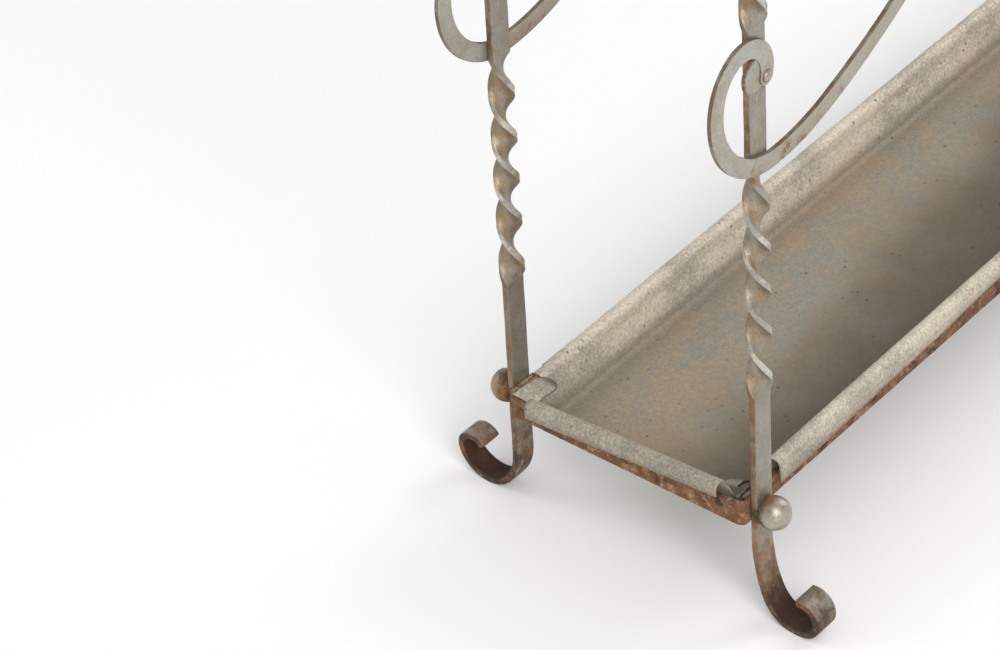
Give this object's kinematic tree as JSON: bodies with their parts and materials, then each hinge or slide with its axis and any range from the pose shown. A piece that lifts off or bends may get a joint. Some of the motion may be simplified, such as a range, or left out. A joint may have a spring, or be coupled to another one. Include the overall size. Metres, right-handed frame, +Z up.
{
  "type": "umbrella stand",
  "caption": "Long wrought umbrella stand: twisted flat-bar posts with curled feet, scrolls on the sides, a divided top frame and a lift-out sheet drip tray.",
  "frame": {"origin": "centre of the bounding box at floor level", "axes": "+X along the length towards the right-hand end, +Y towards the rear, +Z up"},
  "size_m": [0.654, 0.28, 0.6755],
  "materials": {
    "post_steel": "burnished, brown patina in the recesses",
    "rail_rust": "even red-brown rust",
    "scroll_steel": "satin, darkened edges",
    "ball_steel": "polished by handling, rust at the foot",
    "rivet_steel": "bright",
    "tray_sheet": "dull galvanised sheet, stained"
  },
  "bodies": {
    "stand": {"post_front_left": "post_steel", "post_front_right": "post_steel", "post_rear_left": "post_steel", "post_rear_right": "post_steel", "scroll_front_left": "scroll_steel", "scroll_front_right": "scroll_steel", "scroll_rear_left": "scroll_steel", "scroll_rear_right": "scroll_steel", "tray_rail_front": "rail_rust", "tray_rail_rear": "rail_rust", "tray_rail_left": "rail_rust", "tray_rail_right": "rail_rust", "top_rail_front": "post_steel", "top_rail_rear": "post_steel", "top_rail_left": "post_steel", "top_rail_right": "post_steel", "divider_1": "post_steel", "divider_2": "post_steel", "divider_3": "post_steel", "divider_4": "post_steel", "lower_ball_rivets": "ball_steel", "upper_ball_rivets": "ball_steel", "lower_rivet_washers": "rail_rust", "upper_rivet_washers": "rail_rust", "scroll_post_rivets": "rivet_steel", "scroll_top_rivets": "rivet_steel", "scroll_spacers": "post_steel", "scroll_collars": "scroll_steel", "divider_rivets": "post_steel"},
    "tray": {"drip_tray": "tray_sheet"}
  },
  "joints": [
    {"name": "tray_lift", "type": "slide", "parent": "stand", "child": "tray", "axis": [0, 0, 1], "range_m": [0, 0.08]}
  ]
}
